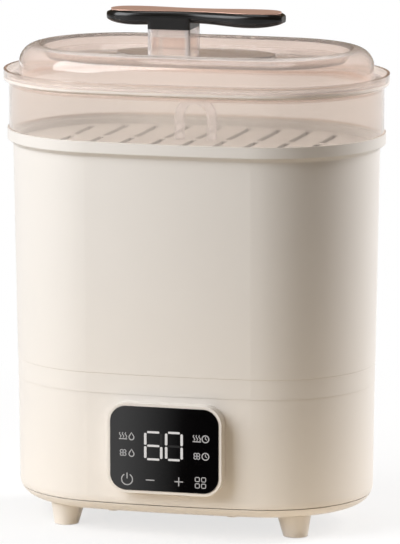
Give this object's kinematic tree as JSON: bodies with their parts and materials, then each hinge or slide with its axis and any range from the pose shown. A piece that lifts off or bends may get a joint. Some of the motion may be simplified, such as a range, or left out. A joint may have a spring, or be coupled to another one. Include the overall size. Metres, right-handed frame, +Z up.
{
  "type": "baby bottle sterilizer",
  "caption": "Free-standing oval steam sterilizer and dryer for baby bottles: heated base with a display, tall chamber, drain tray, clear collar and a domed lid with a handle.",
  "frame": {"origin": "on the floor, at the middle of the four feet and under the middle of the oval", "axes": "+Z up, +X along the oval's long axis to the right of the display, -Y to the front where the display is"},
  "size_m": [0.294, 0.187, 0.3888],
  "materials": {
    "cream_shell": "satin moulded polypropylene",
    "rack_plastic": "satin",
    "tray_plastic": "satin, slightly translucent",
    "clear_plastic": "polished, clear",
    "handle_black": "polished",
    "inlay_rose_gold": "satin anodised",
    "panel_black": "polished, black behind",
    "display_face": "diffusing",
    "circuit_board": "lacquered",
    "component_black": "moulded",
    "spring_bronze": "plated",
    "plate_steel": "spun",
    "silicone": "matte",
    "spreader_aluminium": "cast",
    "element_sheath": "drawn",
    "fitting_metal": "stamped",
    "fuse_ceramic": "ceramic",
    "inner_plastic": "moulded",
    "motor_steel": "plated",
    "impeller_plastic": "moulded",
    "filter_cloth": "folded cloth",
    "screw_steel": "plated",
    "pad_rubber": "matte"
  },
  "bodies": {
    "base": {"feet": "cream_shell", "foot_pads": "pad_rubber", "bottom_cover": "cream_shell", "cover_screws": "screw_steel", "base_shell": "cream_shell", "base_rim": "cream_shell", "base_deck": "inner_plastic", "deck_bosses": "inner_plastic", "panel_bezel": "cream_shell", "panel_glass": "panel_black", "control_board": "circuit_board", "display_module": "display_face", "touch_springs": "spring_bronze", "heating_plate": "plate_steel", "plate_seal": "silicone", "heat_spreader": "spreader_aluminium", "heating_element": "element_sheath", "thermostat": "fitting_metal", "thermal_fuse": "fuse_ceramic", "fan_duct": "inner_plastic", "fan_motor": "motor_steel", "ptc_heater": "spreader_aluminium", "outlet_cap": "inner_plastic", "power_board": "circuit_board", "board_components": "component_black", "mains_inlet": "component_black", "inlet_pins": "spring_bronze"},
    "rack": {"rack_plate": "rack_plastic", "rack_pegs": "rack_plastic"},
    "chamber": {"chamber_shell": "cream_shell"},
    "tray": {"upper_tray": "tray_plastic", "tray_grille": "tray_plastic", "tray_lift_loop": "clear_plastic"},
    "collar": {"clear_collar": "clear_plastic"},
    "lid": {"lid_dome": "clear_plastic", "lid_crown": "clear_plastic", "lid_top": "clear_plastic", "lid_post": "clear_plastic", "handle_grip": "handle_black", "handle_inlay": "inlay_rose_gold"},
    "impeller": {"fan_impeller": "impeller_plastic", "motor_shaft": "motor_steel"},
    "filter": {"filter_cover": "cream_shell", "air_filter": "filter_cloth"}
  },
  "joints": [
    {"name": "chamber_lift", "type": "slide", "parent": "base", "child": "chamber", "axis": [0, 0, 1], "range_m": [0, 0.19]},
    {"name": "rack_lift", "type": "slide", "parent": "base", "child": "rack", "axis": [0, 0, 1], "range_m": [0, 0.1]},
    {"name": "tray_lift", "type": "slide", "parent": "chamber", "child": "tray", "axis": [0, 0, 1], "range_m": [0, 0.08]},
    {"name": "collar_lift", "type": "slide", "parent": "tray", "child": "collar", "axis": [0, 0, 1], "range_m": [0, 0.06]},
    {"name": "lid_lift", "type": "slide", "parent": "collar", "child": "lid", "axis": [0, 0, 1], "range_m": [0, 0.06]},
    {"name": "impeller_spin", "type": "hinge", "parent": "base", "child": "impeller", "pos_m": [0.082, 0, 0.036], "axis": [0, 0, 1], "continuous": true},
    {"name": "filter_twist", "type": "hinge", "parent": "base", "child": "filter", "pos_m": [0.082, 0, 0.02], "axis": [0, 0, 1], "range_deg": [0, 25]}
  ]
}
